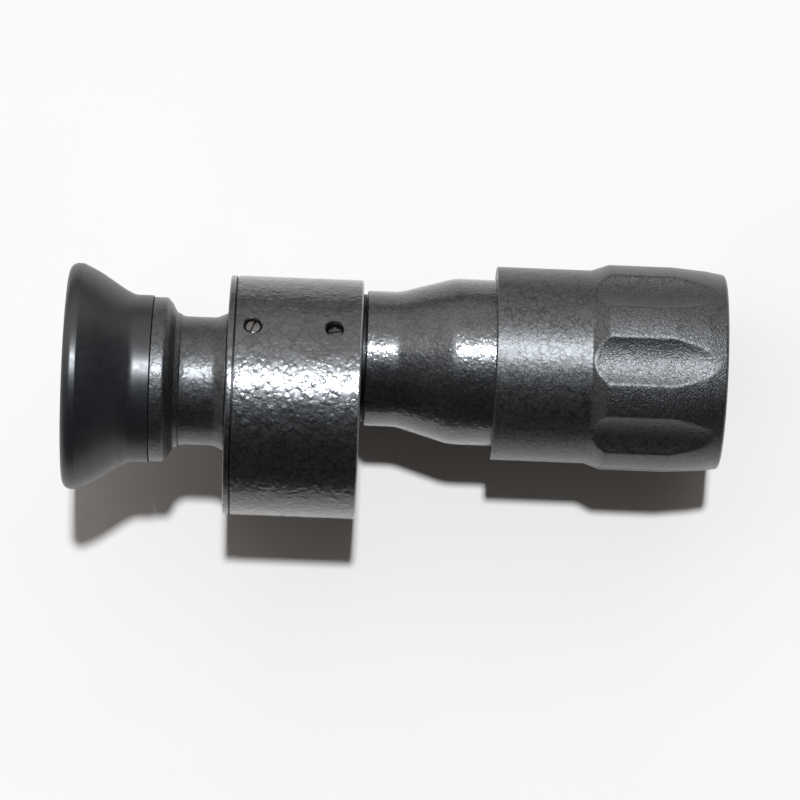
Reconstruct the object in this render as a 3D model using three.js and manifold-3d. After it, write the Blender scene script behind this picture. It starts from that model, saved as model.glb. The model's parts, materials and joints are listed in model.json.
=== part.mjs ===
// Hand telescope with an erecting Porro prism drum, lying on its side. Millimetres.
// +X runs along the optical axis from the eyecup to the objective, +Z is up, z = 0 is the surface
// that the drum and the focus grip rest on. Axial stations are counted from the eyecup's face.
import * as THREE from "three";
import { mergeVertices } from "three/addons/utils/BufferGeometryUtils.js";
import Module from "manifold-3d";

const wasm = await Module();
wasm.setup();

// ---- driving dimensions ----
const LENGTH = 125.3; // eyecup face to objective rim
const DRUM_R = 23.0; // prism drum
const GRIP_R = 20.0; // crest of the fluted grip
const BEAM_SHIFT = 8.2; // sideways step of the beam in each prism
const SHIFT_ANGLE = 151.5; // direction of the first step, degrees from +Y towards +Z
const DRUM_AXIS = { y: -2.3, z: DRUM_R };
const OBJECTIVE_AXIS = { y: 5.3, z: GRIP_R };
const BEAM_1 = direction(SHIFT_ANGLE);
const BEAM_2 = direction(SHIFT_ANGLE - 90);
const MIDDLE_AXIS = stepped(OBJECTIVE_AXIS, BEAM_1);
const EYE_AXIS = stepped(MIDDLE_AXIS, BEAM_2);

const GAP = 0.05; // between faces that meet square to the axis
const FIT = 0.15; // radial clearance of parts that screw or slide into each other
const PLATE = [30.4, 31.85]; // rim of the drum's cover
const DRUM = [31.9, 55.9];
const END_WALL = 2.5;
const DRUM_BORE = 20.0;
const SPIGOT_R = 19.75; // cover and carrier where they enter the drum
const SHELF = [42.3, 43.8]; // plate between the two prisms
const PRISM = { length: 17, width: 8.4, ridge: 7.9 };
const SET_SCREW = { angle: 42, hole: 1.65, r: 1.45, stations: [35.2, 50.6], tops: [22.55, 21.7] };
const TUBE_END = 93.6;
const TUBE_R = 16.0;
const SLEEVE = [81.35, LENGTH]; // rear edge and objective rim
const COUNTERBORE = 17.2;
const FLUTES = { count: 8, first: 73.5, radius: 13.7, floor: 18.5 };

const ROUND = 40; // facets of the large turned parts
const FINE = 24; // facets of the optics and small rings
const TINY = 12; // facets of the screws

const FINISH = {
  hammertone: { color: 0x4a4b4d, metalness: 0.6, roughness: 0.4 },
  eyecup_black: { color: 0x17181a, metalness: 0, roughness: 0.35 },
  blackened_metal: { color: 0x2a2a2c, metalness: 0.7, roughness: 0.5 },
  screw_steel: { color: 0x4c4a48, metalness: 0.9, roughness: 0.35 },
  spring_steel: { color: 0x9a9a98, metalness: 0.9, roughness: 0.3 },
  glass: { color: 0xcfe0e0, metalness: 0, roughness: 0.05 },
};

function direction(degrees) {
  const a = THREE.MathUtils.degToRad(degrees);
  return { y: Math.cos(a), z: Math.sin(a) };
}

function stepped(from, along, distance = BEAM_SHIFT) {
  return { y: from.y + along.y * distance, z: from.z + along.z * distance };
}

// ---- solids ----
function solid(geometry) {
  const g = geometry.clone();
  g.deleteAttribute("normal");
  g.deleteAttribute("uv");
  const merged = mergeVertices(g, 1e-4);
  const body = new wasm.Manifold(
    new wasm.Mesh({
      numProp: 3,
      vertProperties: merged.attributes.position.array,
      triVerts: new Uint32Array(merged.index.array),
    }),
  );
  if (body.volume() < 0) throw new Error("a profile is listed the wrong way round");
  return body;
}

// Turns a profile of [station, radius] points about an axis parallel to X. A profile either
// starts and ends on the axis or is closed into a ring.
function turned(profile, axis = { y: 0, z: 0 }, facets = ROUND) {
  const points = profile.map(([x, r]) => new THREE.Vector2(r, x));
  const onAxis = profile[0][1] === 0 && profile.at(-1)[1] === 0;
  if (!onAxis) points.push(points[0].clone());
  if (THREE.ShapeUtils.area(points) < 0) points.reverse();
  const g = new THREE.LatheGeometry(points, facets);
  g.rotateZ(-Math.PI / 2);
  g.translate(0, axis.y, axis.z);
  return solid(g);
}

const ring = (x0, x1, inner, outer, axis, facets) =>
  turned([[x0, inner], [x1, inner], [x1, outer], [x0, outer]], axis, facets);

const rod = (x0, x1, r, axis, facets) =>
  turned([[x0, 0], [x0, r], [x1, r], [x1, 0]], axis, facets);

// A rod that points away from an axis, at an angle from +Y towards +Z.
function radialRod(x, axis, degrees, r0, r1, radius, facets = TINY) {
  const g = new THREE.CylinderGeometry(radius, radius, r1 - r0, facets);
  g.translate(0, (r0 + r1) / 2, 0);
  g.rotateX(THREE.MathUtils.degToRad(degrees));
  g.translate(x, axis.y, axis.z);
  return solid(g);
}

// Extrudes an outline in the plane of beam direction and depth, centred on a prism.
function prismatic(outline, width, side, along, centre, base) {
  const g = new THREE.ExtrudeGeometry(
    new THREE.Shape(outline.map(([u, t]) => new THREE.Vector2(u, t))),
    { depth: width, bevelEnabled: false },
  );
  g.translate(0, 0, -width / 2);
  const u = new THREE.Vector3(0, along.y, along.z);
  const t = new THREE.Vector3(side, 0, 0);
  const m = new THREE.Matrix4().makeBasis(u, t, new THREE.Vector3().crossVectors(u, t));
  m.setPosition(base, centre.y, centre.z);
  g.applyMatrix4(m);
  return solid(g);
}

// Stations and radii of a spherical surface from the axis out to an edge radius.
function sphere(apex, edge, radius, steps = 3) {
  const points = [];
  for (let i = 0; i <= steps; i++) {
    const r = (edge * i) / steps;
    const sag = Math.abs(radius) - Math.sqrt(radius * radius - r * r);
    points.push([apex + Math.sign(radius) * sag, r]);
  }
  return points;
}

// A lens between two surfaces; a positive radius is centred on the objective's side.
function lens(edge, left, right, axis, facets = FINE) {
  const first = sphere(left.apex, edge, left.radius, left.steps);
  const last = sphere(right.apex, edge, right.radius, right.steps);
  return turned([...first, ...last.reverse()], axis, facets);
}

const group = new THREE.Group();
group.name = "hand_telescope";

function add(name, body, finish) {
  const m = body.getMesh();
  const g = new THREE.BufferGeometry();
  g.setAttribute("position", new THREE.BufferAttribute(Float32Array.from(m.vertProperties), 3));
  g.setIndex(new THREE.BufferAttribute(Uint32Array.from(m.triVerts), 1));
  g.translate(-LENGTH / 2, 0, 0);
  g.computeVertexNormals();
  const mesh = new THREE.Mesh(g, new THREE.MeshStandardMaterial(FINISH[finish]));
  mesh.name = name;
  group.add(mesh);
}

// ---- eyepiece ----
add(
  "eyecup",
  turned(
    [
      [0, 19.7], [0, 20.3], [0.45, 21.2], [1.4, 21.55], [2.6, 21.5], [3.4, 21.0], [5.7, 20.0],
      [8.1, 18.7], [10.5, 17.0], [12.6, 15.95], [16.1, 15.95], [16.1, 12.75], [8.3, 12.75],
      [8.3, 9.5], [6.6, 9.5], [5.6, 12.4], [2.4, 17.6],
    ],
    EYE_AXIS,
  ),
  "eyecup_black",
);

const SPIGOT = 9.6; // thread that enters the cover
add(
  "eyepiece_housing",
  turned(
    [
      [8.7, 10.6], [8.7, 12.6], [16.2, 12.6], [16.2, 15.65], [18.0, 15.65], [19.4, 14.8],
      [20.2, 13.7], [21.2, 12.9], [22.7, 12.2], [28.0, 12.2], [29.6, 12.5],
      [PLATE[0] - GAP, 13.2], [PLATE[0] - GAP, SPIGOT], [33.3, SPIGOT], [33.3, 8.4],
      [27.3, 8.4], [27.3, 10.6],
    ],
    EYE_AXIS,
  ),
  "hammertone",
);
add("eyepiece_retaining_ring", ring(9.4, 10.9, 9.0, 10.45, EYE_AXIS, FINE), "blackened_metal");
add(
  "eye_lens_flint",
  lens(10.35, { apex: 11.1, radius: 400, steps: 1 }, { apex: 12.5, radius: 26 }, EYE_AXIS),
  "glass",
);
add(
  "eye_lens_crown",
  lens(10.35, { apex: 12.6, radius: 26 }, { apex: 18.2, radius: -30 }, EYE_AXIS),
  "glass",
);
add("eyepiece_spacer", ring(16.8, 23.3, 9.5, 10.45, EYE_AXIS, FINE), "blackened_metal");
add(
  "field_lens",
  lens(10.35, { apex: 21.8, radius: 28 }, { apex: 26.1, radius: -900, steps: 1 }, EYE_AXIS),
  "glass",
);
add("field_stop", ring(26.3, 27.2, 6.8, 10.45, EYE_AXIS, FINE), "blackened_metal");

// ---- prism drum ----
const coverHole = rod(PLATE[0] - 1, 33.4, SPIGOT + FIT, EYE_AXIS, ROUND);
add(
  "prism_cover",
  turned(
    [
      [PLATE[0], 0], [PLATE[0], DRUM_R - 0.4], [PLATE[0] + 0.35, DRUM_R], [PLATE[1], DRUM_R],
      [PLATE[1], SPIGOT_R], [41.9, SPIGOT_R], [41.9, 18.2], [33.4, 18.2], [33.4, 0],
    ],
    DRUM_AXIS,
  ).subtract(coverHole),
  "hammertone",
);

const setScrewHole = (x) =>
  radialRod(x, DRUM_AXIS, SET_SCREW.angle, DRUM_BORE - 2, DRUM_R + 1, SET_SCREW.hole, 16);
const tubeHole = rod(DRUM[1] - END_WALL - 1, DRUM[1] + 1, 10.55, OBJECTIVE_AXIS);
add(
  "prism_housing",
  turned(
    [
      [DRUM[1] - END_WALL, 0], [DRUM[1] - END_WALL, DRUM_BORE], [DRUM[0], DRUM_BORE],
      [DRUM[0], DRUM_R], [DRUM[1] - 0.3, DRUM_R], [DRUM[1], DRUM_R - 0.3], [DRUM[1], 0],
    ],
    DRUM_AXIS,
  )
    .subtract(tubeHole)
    .subtract(setScrewHole(SET_SCREW.stations[0]))
    .subtract(setScrewHole(SET_SCREW.stations[1])),
  "hammertone",
);

// Grub screws with a driver slot, bearing on the cover's spigot and on the prism carrier.
["set_screw_rear", "set_screw_front"].forEach((name, i) => {
  const x = SET_SCREW.stations[i];
  const top = SET_SCREW.tops[i];
  const slot = new THREE.BoxGeometry(4, 1.4, 0.5);
  slot.rotateY(THREE.MathUtils.degToRad([70, 10][i]));
  slot.translate(0, top, 0);
  slot.rotateX(THREE.MathUtils.degToRad(SET_SCREW.angle));
  slot.translate(x, DRUM_AXIS.y, DRUM_AXIS.z);
  add(
    name,
    radialRod(x, DRUM_AXIS, SET_SCREW.angle, SPIGOT_R + 0.25, top, SET_SCREW.r, 16).subtract(
      solid(slot),
    ),
    "screw_steel",
  );
});

const window = (axis) => rod(SHELF[0] - 1, SHELF[1] + 1, 3.7, axis, 16);
let carrier = turned(
  [
    [SHELF[0], 0], [SHELF[0], SPIGOT_R], [53.2, SPIGOT_R], [53.2, 18.3], [SHELF[1], 18.3],
    [SHELF[1], 0],
  ],
  DRUM_AXIS,
);
for (const axis of [OBJECTIVE_AXIS, MIDDLE_AXIS, EYE_AXIS]) carrier = carrier.subtract(window(axis));

// Each prism stands on the shelf under a sprung strap that two small screws hold down.
const prismOutline = [
  [-PRISM.length / 2, 0.05], [PRISM.length / 2, 0.05],
  [PRISM.length / 2 - PRISM.ridge, PRISM.ridge + 0.05],
  [PRISM.ridge - PRISM.length / 2, PRISM.ridge + 0.05],
];
const strapOutline = [
  [12.5, 0.05], [12.5, 0.6], [10.0, 0.6], [1.5, 8.7], [-1.5, 8.7], [-10.0, 0.6],
  [-12.5, 0.6], [-12.5, 0.05], [-9.5, 0.05], [-1.1, 8.15], [1.1, 8.15], [9.5, 0.05],
];
const STRAP_SCREW_AT = 11.2;
const stations = [
  { name: "first", from: OBJECTIVE_AXIS, along: BEAM_1, side: -1, base: SHELF[0] },
  { name: "second", from: MIDDLE_AXIS, along: BEAM_2, side: 1, base: SHELF[1] },
];
for (const { name, from, along, side, base } of stations) {
  const centre = stepped(from, along, BEAM_SHIFT / 2);
  add(
    "prism_" + name,
    prismatic(prismOutline, PRISM.width, side, along, centre, base),
    "glass",
  );
  let strap = prismatic(strapOutline, 3, side, along, centre, base);
  [-1, 1].forEach((end, i) => {
    const at = stepped(centre, along, end * STRAP_SCREW_AT);
    const [inner, outer] = [base - side * 1.3, base + side * 2];
    strap = strap.subtract(rod(Math.min(inner, outer), Math.max(inner, outer), 0.65, at, TINY));
    carrier = carrier.subtract(
      rod(Math.min(inner, base + side), Math.max(inner, base + side), 0.65, at, TINY),
    );
    const screw = [
      [base - side * 1.1, 0], [base - side * 1.1, 0.5], [base + side * 0.65, 0.5],
      [base + side * 0.65, 1.15], [base + side * 1.4, 1.15], [base + side * 1.4, 0],
    ];
    add(`strap_screw_${name}_${i + 1}`, turned(screw, at, TINY), "screw_steel");
  });
  add("prism_strap_" + name, strap, "spring_steel");
}
add("prism_carrier", carrier, "blackened_metal");

// ---- objective tube ----
add(
  "tube_lock_ring",
  ring(DRUM[1] + GAP, 56.7 - GAP, 10.55, 12.3, OBJECTIVE_AXIS),
  "blackened_metal",
);
const GUIDE_X = 90.0;
const KEY_ANGLE = 90;
add(
  "objective_tube",
  turned(
    [
      [53.5, 8.6], [53.5, 10.4], [56.7, 10.4], [56.7, 13.05], [62.6, 13.05], [64.2, 13.3],
      [72.6, 15.75], [74.4, TUBE_R], [TUBE_END, TUBE_R], [TUBE_END, 13.6], [74.2, 13.6],
      [63.5, 11.4], [57.5, 11.4], [57.5, 8.6],
    ],
    OBJECTIVE_AXIS,
  ).subtract(radialRod(GUIDE_X, OBJECTIVE_AXIS, KEY_ANGLE, 12, 18, 1.25)),
  "hammertone",
);
add("tube_baffle", ring(57.6, 58.8, 7.4, 11.2, OBJECTIVE_AXIS), "blackened_metal");
add(
  "guide_pin",
  radialRod(GUIDE_X, OBJECTIVE_AXIS, KEY_ANGLE, 12.6, 15.8, 1.1),
  "screw_steel",
);
add("travel_stop_ring", ring(92.0, TUBE_END, 16.1, 16.9, OBJECTIVE_AXIS), "blackened_metal");

// ---- objective cell, which slides on the guide pin ----
const keyway = new THREE.BoxGeometry(12.2, 2.6, 4);
keyway.translate(91.3, OBJECTIVE_AXIS.y, OBJECTIVE_AXIS.z + 13);
add(
  "objective_cell",
  turned(
    [
      [80.5, 12.4], [80.5, 13.4], [101.7, 13.4], [101.7, 16.95], [117.4, 16.95], [117.4, 15.1],
      [107.2, 15.1], [107.2, 13.9], [103.4, 12.4],
    ],
    OBJECTIVE_AXIS,
  ).subtract(solid(keyway)),
  "blackened_metal",
);
add(
  "objective_flint_lens",
  lens(
    14.9, { apex: 107.9, radius: 300, steps: 1 }, { apex: 109.4, radius: 62 }, OBJECTIVE_AXIS,
    ROUND,
  ),
  "glass",
);
add(
  "objective_crown_lens",
  lens(
    14.9, { apex: 109.6, radius: 62 }, { apex: 116.0, radius: -62 }, OBJECTIVE_AXIS, ROUND,
  ),
  "glass",
);
add("objective_retaining_ring", ring(114.6, 117.2, 13.9, 14.95, OBJECTIVE_AXIS), "blackened_metal");

// ---- focus sleeve, which turns on the tube and carries the cell ----
add("cell_thrust_ring", ring(99.6, 101.4, 14.2, 17.0, OBJECTIVE_AXIS), "blackened_metal");
add("sleeve_front_ring", ring(117.7, 120.7, 15.3, 17.0, OBJECTIVE_AXIS), "blackened_metal");
let sleeve = turned(
  [
    [SLEEVE[0], TUBE_R + FIT], [SLEEVE[0], 18.35], [SLEEVE[0] + 0.25, 18.6], [99.85, 18.6],
    [101.3, 19.3], [102.7, GRIP_R], [116.2, GRIP_R], [121.5, 19.35], [124.7, 18.7],
    [SLEEVE[1], 18.1],
    [SLEEVE[1], 17.5], [124.9, COUNTERBORE], [88.5, COUNTERBORE], [88.5, TUBE_R + FIT],
  ],
  OBJECTIVE_AXIS,
);
for (let i = 0; i < FLUTES.count; i++) {
  const out = direction(FLUTES.first - (i * 360) / FLUTES.count);
  const axis = stepped(OBJECTIVE_AXIS, out, FLUTES.floor + FLUTES.radius);
  const cutter = [
    [99.9, 0], [99.9, 13.55], [101.2, FLUTES.radius], [115.5, FLUTES.radius], [119.8, 13.5],
    [123.8, 13.25], [126.5, 12.9], [126.5, 0],
  ];
  sleeve = sleeve.subtract(turned(cutter, axis, 64));
}
add("focus_sleeve", sleeve, "hammertone");

export default group;
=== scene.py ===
"""Looks of the hand telescope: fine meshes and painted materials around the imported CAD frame."""
import json
import math

import bmesh
import bpy
from mathutils import Matrix, Vector

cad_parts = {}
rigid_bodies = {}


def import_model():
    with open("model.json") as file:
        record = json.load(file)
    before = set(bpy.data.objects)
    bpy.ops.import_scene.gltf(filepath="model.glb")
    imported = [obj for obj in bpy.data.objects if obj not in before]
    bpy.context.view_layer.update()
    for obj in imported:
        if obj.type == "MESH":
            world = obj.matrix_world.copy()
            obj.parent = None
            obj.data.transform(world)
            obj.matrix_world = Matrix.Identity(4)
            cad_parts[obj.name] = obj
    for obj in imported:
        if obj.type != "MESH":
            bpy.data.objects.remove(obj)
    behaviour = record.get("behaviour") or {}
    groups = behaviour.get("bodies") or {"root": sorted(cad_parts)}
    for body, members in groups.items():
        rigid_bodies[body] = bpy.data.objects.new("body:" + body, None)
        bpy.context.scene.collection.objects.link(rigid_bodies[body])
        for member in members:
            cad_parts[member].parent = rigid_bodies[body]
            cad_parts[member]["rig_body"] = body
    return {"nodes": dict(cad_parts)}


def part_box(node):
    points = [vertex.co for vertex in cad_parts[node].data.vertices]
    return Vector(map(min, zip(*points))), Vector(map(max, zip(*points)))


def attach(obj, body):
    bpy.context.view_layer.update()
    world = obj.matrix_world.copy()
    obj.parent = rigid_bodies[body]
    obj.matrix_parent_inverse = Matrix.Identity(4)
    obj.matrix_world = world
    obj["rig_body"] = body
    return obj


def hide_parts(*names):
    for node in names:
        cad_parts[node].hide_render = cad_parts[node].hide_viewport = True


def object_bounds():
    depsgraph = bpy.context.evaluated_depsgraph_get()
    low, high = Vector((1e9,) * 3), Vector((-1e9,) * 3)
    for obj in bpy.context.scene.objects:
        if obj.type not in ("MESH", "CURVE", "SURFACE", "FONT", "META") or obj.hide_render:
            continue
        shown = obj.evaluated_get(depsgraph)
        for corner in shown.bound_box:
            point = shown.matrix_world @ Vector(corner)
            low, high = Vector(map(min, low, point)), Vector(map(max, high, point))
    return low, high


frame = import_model()
CAD_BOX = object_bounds()

MM = 0.001
FACETS = 288  # steps round a large turned piece
GRIP_FACETS = 576
RING_FACETS = 192
SCREW_FACETS = 64
ARC_STEP = math.radians(11)  # turn of one edge in a rounded corner
DRUM_STEP, GRIP_STEP = 0.6, 0.3  # longest edge, in millimetres, along the drum and the grip
SHARP = math.radians(38)  # an edge that turns further than this is shaded sharp


# ---------------------------------------------------------------- places, all from the frame
def centre(node):
    """A turned node's axis: the middle of its box, seen along X."""
    low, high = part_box(node)
    return Vector((0, (low.y + high.y) / 2, (low.z + high.z) / 2))


def station(x):
    """World X of a station, which is x millimetres in front of the eyecup's face."""
    return CAD_BOX[0].x + x * MM


def along(axis, x=0.0):
    """Places a turned piece's own X, in stations, on an axis, x millimetres further on."""
    return Matrix.Translation((station(x), axis.y, axis.z))


def radial(x, degrees):
    """Places a turned piece's own X on a radius of the drum, at an angle from +Y towards +Z."""
    a = math.radians(degrees)
    out, side = Vector((0, math.cos(a), math.sin(a))), Vector((0, math.sin(a), -math.cos(a)))
    turn = Matrix((out, (1, 0, 0), side)).transposed().to_4x4()
    return along(DRUM_AXIS, x) @ turn


EYE_AXIS = centre("eyepiece_housing")
DRUM_AXIS = centre("prism_housing")
TUBE_AXIS = centre("objective_tube")


# ---------------------------------------------------------------- outlines and meshes
def corner(before, point, after, radius):
    """Points of the arc that rounds one corner of an outline."""
    p = Vector(point)
    a, b = Vector(before) - p, Vector(after) - p
    reach = 0.49 * min(a.length, b.length)
    a.normalize()
    b.normalize()
    half = math.acos(max(-1.0, min(1.0, a.dot(b)))) / 2
    if half > math.radians(89) or half < math.radians(1):
        return [p]
    radius = min(radius, reach * math.tan(half))
    middle = p + (a + b).normalized() * (radius / math.sin(half))
    start = p + a * (radius / math.tan(half)) - middle
    end = p + b * (radius / math.tan(half)) - middle
    turn = math.atan2(start.x * end.y - start.y * end.x, start.dot(end))
    steps = max(2, math.ceil(abs(turn) / ARC_STEP))
    out = []
    for i in range(steps + 1):
        c, s = math.cos(turn * i / steps), math.sin(turn * i / steps)
        out.append(middle + Vector((c * start.x - s * start.y, s * start.x + c * start.y)))
    return out


def rounded(*points):
    """An outline of (station, radius[, corner radius]) points with its corners rounded."""
    out = []
    for i, point in enumerate(points):
        if len(point) < 3:
            out.append(Vector(point))
        else:
            out += corner(points[i - 1][:2], point[:2], points[(i + 1) % len(points)][:2], point[2])
    return out


def finer(outline, step, wanted):
    """The outline with its wanted edges cut up, so that none is longer than a step."""
    out = []
    for a, b in zip(outline, outline[1:] + outline[:1]):
        cuts = max(1, math.ceil((b - a).length / step)) if wanted(a, b) else 1
        out += [a.lerp(b, i / cuts) for i in range(cuts)]
    return out


def new_piece(name, bm):
    """An object of a bmesh, with smooth shading between its sharp edges."""
    bmesh.ops.recalc_face_normals(bm, faces=bm.faces)
    mesh = bpy.data.meshes.new(name)
    bm.to_mesh(mesh)
    bm.free()
    mesh.shade_smooth()
    mesh.set_sharp_from_angle(angle=SHARP)
    piece = bpy.data.objects.new(name, mesh)
    bpy.context.scene.collection.objects.link(piece)
    return piece


def turned(name, outline, place, facets=FACETS, shape=None):
    """Turns an outline in millimetres. shape(x, radius, angle) may change the radius.
    An outline that starts and ends on the axis is a solid, and any other is a closed ring."""
    bm = bmesh.new()
    angles = [2 * math.pi * i / facets for i in range(facets)]
    rows = []
    for x, r in outline:
        if r < 1e-6:
            rows.append([bm.verts.new(place @ Vector((x * MM, 0, 0)))] * facets)
            continue
        radii = [shape(x, r, a) if shape else r for a in angles]
        ring = [Vector((x, q * math.cos(a), q * math.sin(a))) * MM for q, a in zip(radii, angles)]
        rows.append([bm.verts.new(place @ v) for v in ring])
    solid = outline[0][1] < 1e-6
    for a, b in zip(rows, rows[1:] + ([] if solid else rows[:1])):
        for i in range(facets):
            j = (i + 1) % facets
            bm.faces.new(dict.fromkeys((a[i], a[j], b[j], b[i])))
    return new_piece(name, bm)


def block(size, place):
    """A box cutter, size in millimetres."""
    bm = bmesh.new()
    bmesh.ops.create_cube(bm, size=1, matrix=place @ Matrix.Diagonal((*(v * MM for v in size), 1)))
    return new_piece("cutter", bm)


def cut(piece, *cutters):
    """Takes cutters out of a piece, and removes them."""
    for cutter in cutters:
        boolean = piece.modifiers.new("cut", "BOOLEAN")
        boolean.operation, boolean.solver, boolean.object = "DIFFERENCE", "EXACT", cutter
    graph = bpy.context.evaluated_depsgraph_get()
    mesh = bpy.data.meshes.new_from_object(piece.evaluated_get(graph))
    piece.modifiers.clear()
    piece.data = mesh
    for cutter in cutters:
        bpy.data.objects.remove(cutter)
    mesh.set_sharp_from_angle(angle=SHARP)
    return piece


def stand_in(piece, node, slot, *materials):
    """Gives a piece its materials and a CAD node's place, on that node's body."""
    piece.data.materials.clear()
    for material in materials:
        piece.data.materials.append(material)
    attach(piece, frame["nodes"][node]["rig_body"])
    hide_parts(node)
    return piece


def blacken(piece, axis):
    """Gives the faces that look towards a turned piece's axis its last material."""
    last = len(piece.data.materials) - 1
    for face in piece.data.polygons:
        out = Vector((0, face.center.y, face.center.z)) - axis
        if out.dot(face.normal) < -0.1 * out.length:
            face.material_index = last


# ---------------------------------------------------------------- materials
class Nodes:
    """A node tree, with short ways to add and join its nodes."""

    def __init__(self, tree):
        self.tree = tree

    def add(self, kind, inputs=None, **settings):
        node = self.tree.nodes.new(kind)
        for key, value in settings.items():
            setattr(node, key, value)
        for key, value in (inputs or {}).items():
            if isinstance(value, bpy.types.NodeSocket):
                self.tree.links.new(value, node.inputs[key])
            else:
                node.inputs[key].default_value = value
        return node

    def math(self, operation, a, b=0.0, c=1.0):
        return self.add("ShaderNodeMath", {0: a, 1: b, 2: c}, operation=operation).outputs[0]

    def ramp(self, value, low, high, start=0.0, end=1.0):
        inputs = {"Value": value, "From Min": low, "From Max": high, "To Min": start, "To Max": end}
        return self.add("ShaderNodeMapRange", inputs, interpolation_type="SMOOTHSTEP").outputs["Result"]


class Shader(Nodes):
    """A material's nodes: patterns in object coordinates, for its surface's sockets."""

    def __init__(self, name):
        self.material = bpy.data.materials.new(name)
        self.material.use_nodes = True
        super().__init__(self.material.node_tree)
        self.surface = self.tree.nodes["Principled BSDF"]
        self.place = self.add("ShaderNodeTexCoord").outputs["Object"]

    def noise(self, grain, detail=2.0, roughness=0.5, place=None):
        """Noise whose lumps are about a grain across, in metres."""
        inputs = {"Scale": 1 / grain, "Detail": detail, "Roughness": roughness}
        inputs["Vector"] = place or self.place
        return self.add("ShaderNodeTexNoise", inputs).outputs["Fac"]

    def mix(self, factor, a, b):
        return self.add("ShaderNodeMix", {0: factor, 6: (*a, 1), 7: (*b, 1)}, data_type="RGBA").outputs[2]

    def bent(self, grain, amount):
        """Object coordinates pushed about by noise, so that cells lose their straight sides."""
        inputs = {"Scale": 1 / grain, "Detail": 2.0, "Vector": self.place}
        push = self.add("ShaderNodeTexNoise", inputs).outputs["Color"]
        middle = self.add("ShaderNodeVectorMath", {0: push, 1: (0.5,) * 3}, operation="SUBTRACT").outputs[0]
        inputs = {0: middle, 1: (amount,) * 3, 2: self.place}
        return self.add("ShaderNodeVectorMath", inputs, operation="MULTIPLY_ADD").outputs[0]

    def cells(self, cell, place, feature="F1"):
        inputs = {"Scale": 1 / cell, "Vector": place}
        return self.add("ShaderNodeTexVoronoi", inputs, feature=feature).outputs["Distance"]

    def bump(self, height, distance, below=None):
        inputs = {"Height": height, "Distance": distance}
        if below:
            inputs["Normal"] = below
        return self.add("ShaderNodeBump", inputs).outputs["Normal"]

    def link(self, output, *names):
        for name in names:
            self.tree.links.new(output, self.surface.inputs[name])

    def set(self, **values):
        for name, value in values.items():
            socket = name.replace("_", " ").title().replace("Ior", "IOR")
            self.surface.inputs[socket].default_value = value


VEIN_WIDTH = 0.16  # half of a vein's width, in cells
VEIN_COLOUR = (0.006, 0.006, 0.006)


def hammertone(name, light, cell, web, hill, wave, rough, coat, grain=0.0):
    """Grey-black hammered enamel under a clear gloss: a wandering web of dark veins about a cell
    apart, small domes that glint, and slow waves. The cell and the heights of hill and wave are in
    millimetres, coat is (weight, roughness), and a grain from 0 to 1 makes the paint sandy."""
    cell, hill, wave = cell * MM, hill * MM, wave * MM
    s = Shader(name)
    from_side = s.cells(cell, s.bent(0.7 * cell, 0.9 * cell), "DISTANCE_TO_EDGE")
    vein = s.ramp(from_side, 0.0, VEIN_WIDTH, 1.0, 0.0)
    vein = s.math("MULTIPLY", vein, s.ramp(s.noise(1.6 * cell, 2.0), 0.32, 0.55, 0.3, 1.0))
    blotch = s.ramp(s.noise(2.6 * cell, 4.0, 0.6), 0.3, 0.72, 0.68, 1.0)
    fleck = s.noise(0.24 * MM, 3.0, 0.65)
    tone = s.math("MULTIPLY", s.math("MULTIPLY_ADD", vein, -web), blotch)
    tone = s.math("MULTIPLY", tone, s.ramp(fleck, 0.32, 0.68, 0.75 - 0.5 * grain, 1.2 + 0.5 * grain))
    s.link(s.mix(tone, VEIN_COLOUR, light), "Base Color")
    from_middle = s.cells(0.62 * cell, s.bent(0.5 * cell, 0.3 * cell))
    dome = s.math("MAXIMUM", s.math("MULTIPLY_ADD", s.math("POWER", from_middle, 2.0), -2.6), 0.0)
    height = s.math("MULTIPLY", dome, s.ramp(s.noise(0.9 * cell, 1.0), 0.35, 0.65, 0.25, 1.0))
    normal = s.bump(height, hill, s.bump(s.noise(1.3 * cell, 1.0), wave))
    normal = s.bump(vein, -0.2 * hill - 0.012 * MM * grain, normal)
    if grain:
        normal = s.bump(s.noise(0.3 * MM, 2.0, 0.6), 0.08 * MM * grain, normal)
    s.link(normal, "Normal", "Coat Normal")
    s.link(s.ramp(fleck, 0.3, 0.7, rough - 0.04, rough + 0.08), "Roughness")
    s.set(metallic=0.9, coat_weight=coat[0], coat_roughness=coat[1])
    return s.material


def moulded_black():
    """Satin black plastic with faint turning lines."""
    s = Shader("satin_black_plastic")
    cloud = s.ramp(s.noise(9 * MM, 3.0), 0.3, 0.7)
    s.link(s.mix(cloud, (0.0062, 0.0067, 0.0076), (0.0092, 0.0098, 0.0111)), "Base Color")
    s.link(s.ramp(s.noise(1.1 * MM, 3.0), 0.3, 0.7, 0.33, 0.39), "Roughness")
    turning = s.add("ShaderNodeMapping", {"Vector": s.place, "Scale": (60.0, 1.0, 1.0)}).outputs["Vector"]
    lines = s.bump(s.noise(12 * MM, 1.0, place=turning), 0.004 * MM)
    s.link(s.bump(s.noise(0.35 * MM), 0.006 * MM, lines), "Normal")
    return s.material


def bare_metal(name, dark, light, rough):
    """Steel or anodised metal with a fine grain."""
    s = Shader(name)
    grain = s.noise(0.22 * MM, 3.0, 0.6)
    s.link(s.mix(s.ramp(s.noise(3 * MM, 3.0), 0.35, 0.7), dark, light), "Base Color")
    s.link(s.ramp(grain, 0.3, 0.7, rough - 0.06, rough + 0.08), "Roughness")
    s.link(s.bump(grain, 0.008 * MM), "Normal")
    s.set(metallic=1.0)
    return s.material


def coated_glass(name, pale, tint):
    """Polished glass with a faint coating."""
    s = Shader(name)
    s.link(s.mix(s.ramp(s.noise(11 * MM), 0.35, 0.65), pale, tint), "Base Color")
    s.link(s.ramp(s.noise(0.7 * MM), 0.4, 0.8, 0.01, 0.03), "Roughness")
    s.set(transmission_weight=1.0, ior=1.52, coat_weight=0.5, coat_roughness=0.02)
    return s.material


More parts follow.
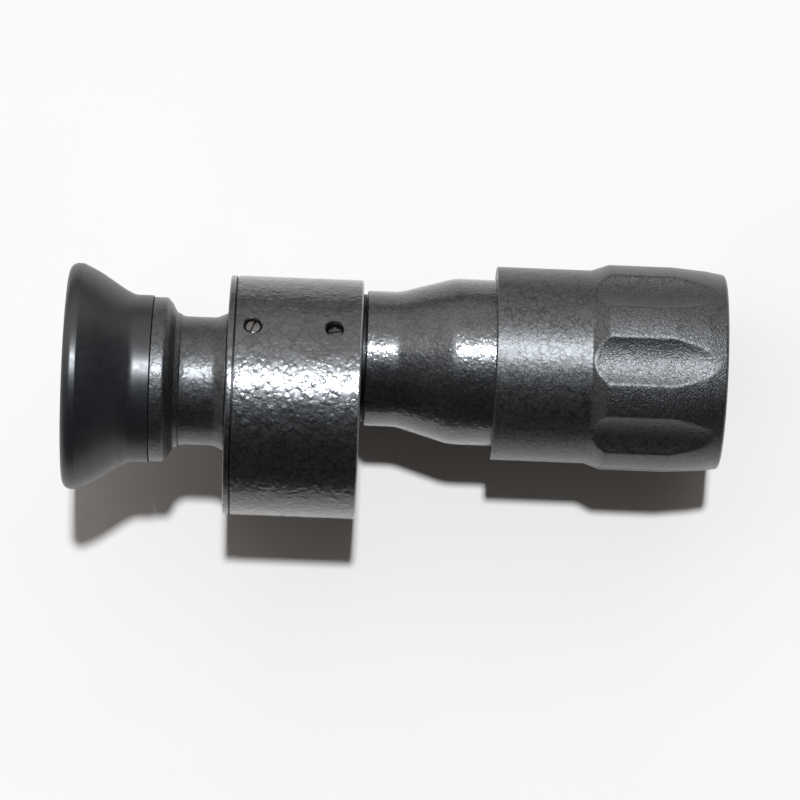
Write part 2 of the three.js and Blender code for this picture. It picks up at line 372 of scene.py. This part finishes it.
GREY = (0.06, 0.061, 0.063)
PALE = (0.057, 0.058, 0.06)
# Lighter grey of the drum's front edge: rubbed paint, and a painted highlight along the edge.
WORN_AND_HIGHLIGHT_GREY = (0.26, 0.26, 0.26)
DRUM_PAINT = hammertone(
    "hammertone_drum", GREY, cell=1.9, web=0.5, hill=0.055, wave=0.1,
    rough=0.37, coat=(1.0, 0.2))
EYE_PAINT = hammertone(
    "hammertone_eyepiece", GREY, cell=1.3, web=0.55, hill=0.03, wave=0.045,
    rough=0.45, coat=(0.65, 0.32))
TUBE_PAINT = hammertone(
    "hammertone_tube", GREY, cell=1.3, web=0.55, hill=0.03, wave=0.045,
    rough=0.37, coat=(1.0, 0.15))
SLEEVE_PAINT = hammertone(
    "hammertone_sleeve", PALE, cell=1.25, web=0.9, hill=0.02, wave=0.05,
    rough=0.44, coat=(0.8, 0.39), grain=0.3)
GRIP_PAINT = hammertone(
    "hammertone_grip", PALE, cell=0.8, web=0.9, hill=0.02, wave=0.045,
    rough=0.43, coat=(0.9, 0.38), grain=0.9)
EDGE_WEAR_AND_HIGHLIGHT_PAINT = hammertone(
    "hammertone_edge_wear_and_highlight", WORN_AND_HIGHLIGHT_GREY, cell=1.3, web=0.3, hill=0.01, wave=0.02,
    rough=0.4, coat=(1.0, 0.2))
CUP_PLASTIC = moulded_black()
# Black anodised metal. In the cover's groove the same black is painted shade along the seam.
BLACK_METAL_AND_SEAM_SHADE = bare_metal("black_anodised_and_seam_shade", (0.014, 0.014, 0.015), (0.026, 0.026, 0.028), 0.42)
SCREW_STEEL = bare_metal("blackened_steel", (0.04, 0.039, 0.038), (0.14, 0.136, 0.132), 0.26)
SPRING_STEEL = bare_metal("spring_steel", (0.42, 0.42, 0.41), (0.6, 0.6, 0.58), 0.22)
LENS_GLASS = coated_glass("coated_lens", (0.94, 0.97, 0.97), (0.93, 0.98, 0.95))
PRISM_GLASS = coated_glass("prism_glass", (0.95, 0.98, 0.95), (0.93, 0.97, 0.94))


# ---------------------------------------------------------------- eyepiece
def eyecup():
    outline = rounded(
        (0.0, 19.75, 0.3), (0.0, 20.35, 0.8), (0.5, 21.25, 1.2), (1.45, 21.55, 1.2), (2.6, 21.5, 0.6),
        (5.8, 20.0, 14.0), (10.4, 17.05, 6.0), (12.5, 15.95, 3.0), (16.1, 15.95, 0.1), (16.1, 12.75),
        (8.3, 12.75), (8.3, 9.5, 0.2), (6.6, 9.5, 0.3), (5.6, 12.4, 1.5), (2.4, 17.6, 9.0),
    )
    stand_in(turned("eyecup_shell", outline, along(EYE_AXIS)), "eyecup", "eyecup_black", CUP_PLASTIC)


def eyepiece_barrel():
    outline = rounded(
        (8.7, 10.6, 0.1), (8.7, 12.6, 0.2), (16.22, 12.6), (16.22, 15.65, 0.12), (18.8, 15.65, 0.9),
        (19.7, 14.6, 0.5), (20.6, 12.95, 0.7), (21.5, 12.6, 0.2), (21.7, 12.35, 0.2), (22.7, 12.2, 4.0),
        (28.3, 12.2, 3.0), (30.3, 13.15, 0.1),
        (30.3, 9.6), (33.3, 9.6), (33.3, 8.4), (27.3, 8.4), (27.3, 10.6),
    )
    piece = turned("eyepiece_barrel", outline, along(EYE_AXIS))
    blacken(stand_in(piece, "eyepiece_housing", "hammertone", EYE_PAINT, BLACK_METAL_AND_SEAM_SHADE), EYE_AXIS)


# ---------------------------------------------------------------- prism drum
SET_SCREWS = {  # station, radius of the top in the drum, turn of the slot in degrees
    "set_screw_rear": (35.2, 22.55, 70),
    "set_screw_front": (50.6, 21.7, 10),
}
SET_SCREW_ANGLE = 42
SET_SCREW_R = 1.45
SET_SCREW_HOLE = 1.65
SET_SCREW_SLOT = (1.4, 4.0, 0.5)  # depth, half of it above the top; length; width
DRUM_R = 23.0
WORN_AND_HIGHLIGHT_EDGE = 55.5  # station where the drum's front edge starts its lighter paint: worn paint with a painted highlight along the edge
# The groove is black inside as painted shade, so that it shows as a dark line.
GROOVE = (31.6, 31.87, 22.55)  # the dark line between drum and cover: stations and floor radius


def drum_cover():
    outline = rounded(
        (30.4, 0.0), (30.4, DRUM_R, 0.4), (GROOVE[0], DRUM_R, 0.1), (GROOVE[0], GROOVE[2]),
        (GROOVE[1], GROOVE[2]), (GROOVE[1], 19.75), (41.9, 19.75), (41.9, 18.2), (33.4, 18.2),
        (33.4, 0.0),
    )
    piece = turned("drum_cover", outline, along(DRUM_AXIS))
    hole = turned("hole", [(29.0, 0.0), (29.0, 9.75), (33.6, 9.75), (33.6, 0.0)], along(EYE_AXIS))
    stand_in(cut(piece, hole), "prism_cover", "hammertone", DRUM_PAINT, BLACK_METAL_AND_SEAM_SHADE)
    # Faces from the groove on get the black metal. In the groove it is painted shade along the seam; behind
    # the groove it is the black anodised bore.
    for face in piece.data.polygons:
        face.material_index = int(face.center.x > station(GROOVE[0] - 0.05))


def drum_shell():
    outline = rounded(
        (53.4, 0.0), (53.4, 20.0), (31.9, 20.0), (31.9, DRUM_R, 0.1), (55.9, DRUM_R, 0.45), (55.9, 0.0),
    )
    outline = finer(outline, DRUM_STEP, lambda a, b: a.y > 22 and b.y > 22)
    piece = turned("drum_shell", outline, along(DRUM_AXIS))
    cutters = [turned("hole", [(52.0, 0.0), (52.0, 10.55), (57.0, 10.55), (57.0, 0.0)], along(TUBE_AXIS))]
    flare = rounded(
        (18.5, 0.0), (18.5, SET_SCREW_HOLE), (22.75, SET_SCREW_HOLE, 0.3), (23.1, 2.1), (23.6, 2.4),
        (23.6, 0.0),
    )
    for x, _, _ in SET_SCREWS.values():
        cutters.append(turned("hole", flare, radial(x, SET_SCREW_ANGLE), SCREW_FACETS))
    stand_in(cut(piece, *cutters), "prism_housing", "hammertone", DRUM_PAINT, EDGE_WEAR_AND_HIGHLIGHT_PAINT, BLACK_METAL_AND_SEAM_SHADE)
    # The front bevel gets the lighter edge paint. It stands for worn paint and a painted highlight along
    # the edge.
    for face in piece.data.polygons:
        face.material_index = int(face.center.x > station(WORN_AND_HIGHLIGHT_EDGE) and face.normal.x < 0.95)
    blacken(piece, DRUM_AXIS)


def set_screw(node, x, top, slot):
    place = radial(x, SET_SCREW_ANGLE)
    outline = rounded(
        (20.0, 0.0), (20.0, 1.1), (20.4, SET_SCREW_R), (top, SET_SCREW_R, 0.22), (top, 0.0),
    )
    piece = turned(node + "_turned", outline, place, SCREW_FACETS)
    across = Matrix.Translation((top * MM, 0, 0)) @ Matrix.Rotation(math.radians(slot), 4, "X")
    cut(piece, block(SET_SCREW_SLOT, place @ across))
    stand_in(piece, node, "screw_steel", SCREW_STEEL)


# ---------------------------------------------------------------- objective end
def objective_barrel():
    outline = rounded(
        (53.5, 8.6), (53.5, 10.4), (56.7, 10.4), (56.7, 13.05, 0.3), (62.9, 13.05, 6.0), (73.2, 16.0, 8.0),
        (93.6, 16.0), (93.6, 13.6), (74.2, 13.6), (63.5, 11.4), (57.5, 11.4), (57.5, 8.6),
    )
    piece = turned("objective_barrel", outline, along(TUBE_AXIS))
    blacken(stand_in(piece, "objective_tube", "hammertone", TUBE_PAINT, BLACK_METAL_AND_SEAM_SHADE), TUBE_AXIS)


# Degrees of the first flute from +Y, and the cutter's radius and the floor's, in millimetres.
FLUTES = {"count": 8, "first": 73.5, "radius": 12.2, "floor": 18.6}
# The cutter's radius by station: it runs out towards both ends.
FLUTE_ENDS = [(99.9, 12.05), (101.2, 12.2), (115.5, 12.2), (119.8, 12.0), (123.8, 11.75), (126.5, 11.4)]
GRIP_START = 100.4  # station where the sleeve's paint gives way to the grip's
EDGE_SOFTNESS = 0.22


def along_table(table, x):
    """The value at x of a table of (x, value) points."""
    for (x0, v0), (x1, v1) in zip(table, table[1:]):
        if x <= x1:
            return v0 + (v1 - v0) * (x - x0) / (x1 - x0)
    return table[-1][1]


def fluted(x, radius, angle):
    """The grip's radius once its flutes are cut, with their edges slightly worn."""
    if x < FLUTE_ENDS[0][0] or radius < FLUTES["floor"] - 1:
        return radius
    pitch = 2 * math.pi / FLUTES["count"]
    from_middle = (angle - math.radians(FLUTES["first"]) + pitch / 2) % pitch - pitch / 2
    cutter = along_table(FLUTE_ENDS, x)
    reach = FLUTES["floor"] + FLUTES["radius"]
    across = reach * math.sin(from_middle)
    if abs(across) >= cutter:
        return radius
    floor = reach * math.cos(from_middle) - math.sqrt(cutter**2 - across**2)
    blend = max(0.0, 1 - abs(radius - floor) / EDGE_SOFTNESS)
    return min(radius, floor) - EDGE_SOFTNESS * blend**2 / 4


def focus_grip():
    outline = rounded(
        (81.35, 16.15, 0.1), (81.35, 18.6, 0.3), (99.6, 18.6, 1.0), (101.2, 19.3, 1.5), (102.7, 20.0, 1.6),
        (115.0, 20.0, 4.0), (121.5, 19.3, 8.0), (124.95, 18.7, 0.4), (125.3, 18.2, 0.3), (125.3, 17.4, 0.2),
        (124.9, 17.2), (88.5, 17.2), (88.5, 16.15),
    )
    outline = finer(outline, GRIP_STEP, lambda a, b: a.x > 99 and a.y > 18 and b.y > 18)
    piece = turned("focus_grip", outline, along(TUBE_AXIS), GRIP_FACETS, fluted)
    stand_in(piece, "focus_sleeve", "hammertone", SLEEVE_PAINT, GRIP_PAINT, BLACK_METAL_AND_SEAM_SHADE)
    for face in piece.data.polygons:
        face.material_index = int(face.center.x > station(GRIP_START))
    blacken(piece, TUBE_AXIS)


def objective_cell():
    outline = rounded(
        (80.5, 12.4), (80.5, 13.4, 0.1), (101.7, 13.4), (101.7, 16.95, 0.1), (117.4, 16.95, 0.15),
        (117.4, 15.1, 0.15), (107.2, 15.1), (107.2, 13.9, 0.1), (103.4, 12.4),
    )
    piece = turned("objective_cell_turned", outline, along(TUBE_AXIS))
    keyway = along(TUBE_AXIS) @ Matrix.Translation(Vector((91.3, 0, 13)) * MM)
    cut(piece, block((12.2, 2.6, 4.0), keyway))
    stand_in(piece, "objective_cell", "blackened_metal", BLACK_METAL_AND_SEAM_SHADE)


# ---------------------------------------------------------------- rings and glass
RINGS = {  # rear and front station, inner and outer radius, axis
    "eyepiece_retaining_ring": (9.4, 10.9, 9.0, 10.45, EYE_AXIS),
    "eyepiece_spacer": (16.8, 23.3, 9.5, 10.45, EYE_AXIS),
    "field_stop": (26.3, 27.2, 6.8, 10.45, EYE_AXIS),
    "tube_lock_ring": (55.95, 56.65, 10.55, 12.3, TUBE_AXIS),
    "tube_baffle": (57.6, 58.8, 7.4, 11.2, TUBE_AXIS),
    "travel_stop_ring": (92.0, 93.6, 16.1, 16.9, TUBE_AXIS),
    "cell_thrust_ring": (99.6, 101.4, 14.2, 17.0, TUBE_AXIS),
    "objective_retaining_ring": (114.6, 117.2, 13.9, 14.95, TUBE_AXIS),
    "sleeve_front_ring": (117.7, 120.7, 15.3, 17.0, TUBE_AXIS),
}
SPANNER_FACES = {  # rings with a spanner slot, and the station of the face that it is in
    "eyepiece_retaining_ring": 9.4,
    "objective_retaining_ring": 117.2,
    "sleeve_front_ring": 120.7,
}
SPANNER_SLOT = (1.2, 0.9)  # depth, half of it clear of the face; width


def metal_ring(node, rear, front, inner, outer, axis):
    edge = 0.15
    outline = rounded((rear, inner, edge), (front, inner, edge), (front, outer, edge), (rear, outer, edge))
    piece = turned(node + "_turned", outline, along(axis), RING_FACETS)
    if node in SPANNER_FACES:
        cut(piece, block((*SPANNER_SLOT, 3 * outer), along(axis, SPANNER_FACES[node])))
    stand_in(piece, node, "blackened_metal", BLACK_METAL_AND_SEAM_SHADE)


LENSES = {  # edge radius, rear apex and radius, front apex and radius, axis
    "eye_lens_flint": (10.35, 11.1, 400, 12.5, 26, EYE_AXIS),
    "eye_lens_crown": (10.35, 12.6, 26, 18.2, -30, EYE_AXIS),
    "field_lens": (10.35, 21.8, 28, 26.1, -900, EYE_AXIS),
    "objective_flint_lens": (14.9, 107.9, 300, 109.4, 62, TUBE_AXIS),
    "objective_crown_lens": (14.9, 109.6, 62, 116.0, -62, TUBE_AXIS),
}


def sphere(apex, radius, edge, steps=24):
    """Points of a lens surface, from the axis to the edge."""
    radii = [edge * i / steps for i in range(steps + 1)]
    return [(apex + radius - math.copysign(math.sqrt(radius**2 - r * r), radius), r) for r in radii]


def lens(node, edge, rear, rear_radius, front, front_radius, axis):
    outline = sphere(rear, rear_radius, edge) + sphere(front, front_radius, edge)[::-1]
    stand_in(turned(node + "_polished", outline, along(axis), RING_FACETS), node, "glass", LENS_GLASS)


def inner_parts():
    """CAD parts inside the drum keep their shape and get a finish."""
    finishes = {"prism_strap": SPRING_STEEL, "strap_screw": SCREW_STEEL, "guide_pin": SCREW_STEEL}
    finishes |= {"prism_carrier": BLACK_METAL_AND_SEAM_SHADE, "prism_first": PRISM_GLASS, "prism_second": PRISM_GLASS}
    for name, node in frame["nodes"].items():
        for start, material in finishes.items():
            if name.startswith(start):
                node.data.materials.clear()
                node.data.materials.append(material)


# ---------------------------------------------------------------- floor, light and camera
FLOOR_HALF_SIZE = 3.0
CARD_MIDDLE, CARD_HALF_SIZE = (0, 0.095, 0.0005), (0.16, 0.033)
SUN_DIRECTION, SUN_STRENGTH = Vector((0, 0.5516, 1.0)), 4.5
CAMERA_PLACE, CAMERA_LENS = (-0.01119, 0.19634, 0.90303), 211.0
CAMERA_YAW, CAMERA_PITCH, CAMERA_ROLL = 0.01386, 0.22167, -0.04242


def floor():
    s = Shader("pale_sheet")
    s.link(s.mix(s.noise(60 * MM, 3.0), (0.622, 0.59, 0.568), (0.653, 0.62, 0.596)), "Base Color")
    s.link(s.ramp(s.noise(30 * MM, 2.0), 0.3, 0.7, 0.5, 0.65), "Roughness")
    s.link(s.bump(s.noise(2 * MM, 4.0), 0.01 * MM), "Normal")
    s.set(specular_ior_level=0.0)
    bm = bmesh.new()
    bmesh.ops.create_grid(bm, x_segments=8, y_segments=8, size=FLOOR_HALF_SIZE)
    piece = new_piece("floor", bm)
    piece.data.materials.append(s.material)


def flag():
    """A grey card on the sheet, seen only in the paint, where its reflection draws a dark line."""
    s = Shader("grey_card")
    s.link(s.mix(s.noise(20 * MM), (0.10,) * 3, (0.13,) * 3), "Base Color")
    s.set(roughness=0.8)
    bm = bmesh.new()
    place = Matrix.Translation(CARD_MIDDLE) @ Matrix.Diagonal((*CARD_HALF_SIZE, 1, 1))
    bmesh.ops.create_grid(bm, x_segments=8, y_segments=8, size=1.0, matrix=place)
    piece = new_piece("flag", bm)
    piece.data.materials.append(s.material)
    piece.visible_camera = piece.visible_shadow = piece.visible_diffuse = False


def surroundings():
    """A warm room that is bright on the +Y side, dim on the left and dark elsewhere."""
    world = bpy.data.worlds.new("room")
    world.use_nodes = True
    n = Nodes(world.node_tree)
    direction = n.add("ShaderNodeTexCoord").outputs["Generated"]
    parts = n.add("ShaderNodeSeparateXYZ", {0: direction}).outputs
    window = n.ramp(n.math("MULTIPLY_ADD", parts["X"], -0.35, parts["Y"]), 0.42, 0.72, 0.03, 1.38)
    left = n.ramp(parts["X"], -0.4, -0.85, 0.0, 0.55)
    sky = world.node_tree.nodes["Background"].inputs
    sky["Color"].default_value = (1.0, 0.96, 0.925, 1)
    world.node_tree.links.new(n.math("ADD", window, left), sky["Strength"])
    bpy.context.scene.world = world


def key_light():
    sun = bpy.data.lights.new("key", "SUN")
    sun.energy = SUN_STRENGTH
    sun.angle = math.radians(3.0)
    sun.color = (0.94, 1.0, 1.06)
    lamp = bpy.data.objects.new("key", sun)
    lamp.rotation_euler = SUN_DIRECTION.to_track_quat("Z", "Y").to_euler()
    bpy.context.scene.collection.objects.link(lamp)


def camera():
    lens_data = bpy.data.cameras.new("camera")
    lens_data.sensor_width = 36.0
    lens_data.lens = CAMERA_LENS
    lens_data.clip_start, lens_data.clip_end = 0.05, 10.0
    eye = bpy.data.objects.new("camera", lens_data)
    turn = Matrix.Rotation(-CAMERA_YAW, 4, "Y") @ Matrix.Rotation(-CAMERA_PITCH, 4, "X")
    turn = turn @ Matrix.Rotation(-CAMERA_ROLL, 4, "Z")
    eye.matrix_world = Matrix.Translation(CAMERA_PLACE) @ turn
    bpy.context.scene.collection.objects.link(eye)
    bpy.context.scene.camera = eye
    bpy.context.scene.view_settings.view_transform = "Standard"


def build():
    eyecup()
    eyepiece_barrel()
    drum_cover()
    drum_shell()
    for node, (x, top, slot) in SET_SCREWS.items():
        set_screw(node, x, top, slot)
    objective_barrel()
    focus_grip()
    objective_cell()
    for node, sizes in RINGS.items():
        metal_ring(node, *sizes)
    for node, sizes in LENSES.items():
        lens(node, *sizes)
    inner_parts()
    floor()
    flag()
    surroundings()
    key_light()
    camera()


build()
